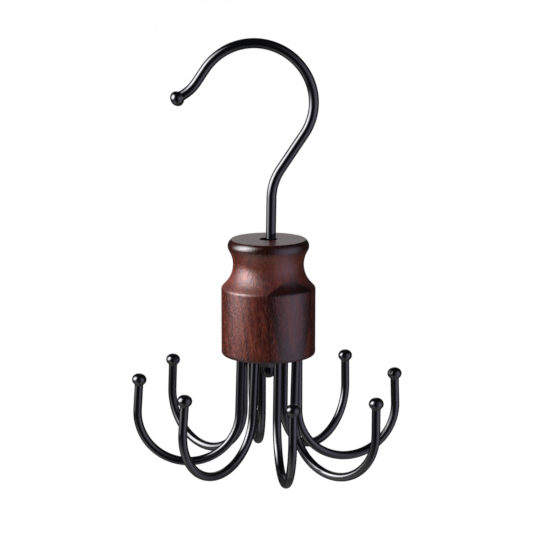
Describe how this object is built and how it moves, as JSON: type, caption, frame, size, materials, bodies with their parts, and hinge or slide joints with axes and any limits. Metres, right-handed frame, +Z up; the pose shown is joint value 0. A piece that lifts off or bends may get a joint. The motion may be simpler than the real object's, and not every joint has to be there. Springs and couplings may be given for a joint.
{
  "type": "accessory hanger",
  "caption": "Rotating accessory hanger: a bent wire hook for a closet rod carries a turned wooden body that swivels, with J shaped wire arms round its underside.",
  "frame": {"origin": "where a closet rod rests inside the crown of the hanging hook, on the axis that the wooden body turns about", "axes": "+Z up along the swivel axis; +X towards the belly of the hanging hook, whose open side faces -X; the hook lies in the XZ plane"},
  "size_m": [0.1193, 0.1199, 0.19],
  "materials": {
    "black_paint": "glossy black baked paint on steel wire",
    "black_nut": "glossy black plated and painted steel",
    "zinc": "zinc plated steel, satin",
    "stained_wood": "dark red-brown stain under satin lacquer"
  },
  "bodies": {
    "hook": {"hanging_hook": "black_paint", "cap_nut": "black_nut"},
    "washer": {"thrust_washer": "zinc"},
    "carousel": {"turned_body": "stained_wood", "arm_hook_1": "black_paint", "arm_hook_2": "black_paint", "arm_hook_3": "black_paint", "arm_hook_4": "black_paint", "arm_hook_5": "black_paint", "arm_hook_6": "black_paint", "arm_hook_7": "black_paint", "arm_hook_8": "black_paint"}
  },
  "joints": [
    {"name": "body_swivel", "type": "hinge", "parent": "hook", "child": "washer", "pos_m": [0, 0, -0.13395], "axis": [0, 0, 1], "continuous": true},
    {"name": "body_lift", "type": "slide", "parent": "washer", "child": "carousel", "axis": [0, 0, 1], "range_m": [0, 0.015]}
  ]
}
